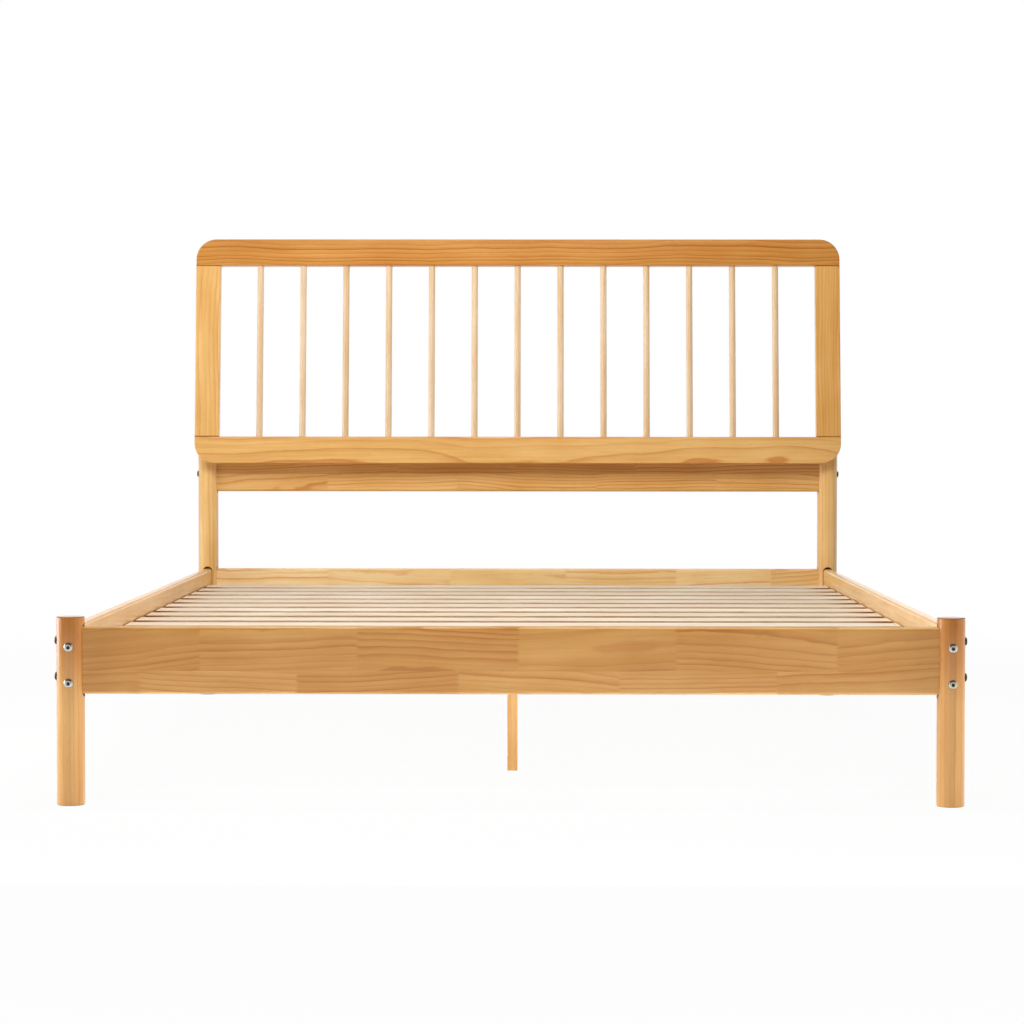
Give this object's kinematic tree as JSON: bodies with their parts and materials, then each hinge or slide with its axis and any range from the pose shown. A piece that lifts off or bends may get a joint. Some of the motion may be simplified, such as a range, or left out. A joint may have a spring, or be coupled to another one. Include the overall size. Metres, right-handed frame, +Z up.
{
  "type": "spindle bed",
  "caption": "Queen-size pine bed frame with round posts, bolted rails, slatted base and a leaning headboard of plain round spindles.",
  "frame": {"origin": "on the floor, in the middle of the bed's outline seen from above", "axes": "+Z up, +Y from the foot of the bed towards the headboard, +X to the right as seen from the foot"},
  "size_m": [1.623, 2.1294, 1.1491],
  "materials": {
    "pine_lacquered": "clear lacquered pine, honey coloured, satin",
    "pine_raw": "pale planed pine, unfinished, matt",
    "beech_dowel": "plain beech dowel, unfinished",
    "zinc_steel": "bright zinc plate, satin"
  },
  "bodies": {
    "root": {"foot_post_left": "pine_lacquered", "foot_post_right": "pine_lacquered", "head_post_left": "pine_lacquered", "head_post_right": "pine_lacquered", "foot_rail": "pine_lacquered", "head_rail": "pine_lacquered", "side_rail_left": "pine_lacquered", "side_rail_right": "pine_lacquered", "headboard_apron": "pine_lacquered", "headboard_top_rail": "pine_lacquered", "headboard_bottom_rail": "pine_lacquered", "headboard_stile_left": "pine_lacquered", "headboard_stile_right": "pine_lacquered", "spindle_01": "pine_lacquered", "spindle_02": "pine_lacquered", "spindle_03": "pine_lacquered", "spindle_04": "pine_lacquered", "spindle_05": "pine_lacquered", "spindle_06": "pine_lacquered", "spindle_07": "pine_lacquered", "spindle_08": "pine_lacquered", "spindle_09": "pine_lacquered", "spindle_10": "pine_lacquered", "spindle_11": "pine_lacquered", "spindle_12": "pine_lacquered", "spindle_13": "pine_lacquered", "centre_leg": "pine_lacquered", "slat_01": "pine_raw", "slat_02": "pine_raw", "slat_03": "pine_raw", "slat_04": "pine_raw", "slat_05": "pine_raw", "slat_06": "pine_raw", "slat_07": "pine_raw", "slat_08": "pine_raw", "slat_09": "pine_raw", "slat_10": "pine_raw", "slat_11": "pine_raw", "slat_12": "pine_raw", "slat_13": "pine_raw", "slat_ledger_left": "pine_raw", "slat_ledger_right": "pine_raw", "centre_beam": "pine_raw", "beam_bracket_foot": "zinc_steel", "beam_bracket_head": "zinc_steel", "foot_post_bolts": "zinc_steel", "head_post_bolts": "zinc_steel", "apron_bolts": "zinc_steel", "panel_bolts": "zinc_steel", "rail_barrel_nuts": "zinc_steel", "apron_barrel_nuts": "zinc_steel", "panel_inserts": "zinc_steel", "slat_screws": "zinc_steel", "ledger_screws": "zinc_steel", "bracket_screws": "zinc_steel", "leg_hanger_bolt": "zinc_steel", "apron_dowels": "beech_dowel", "headboard_dowels": "beech_dowel"}
  },
  "joints": []
}
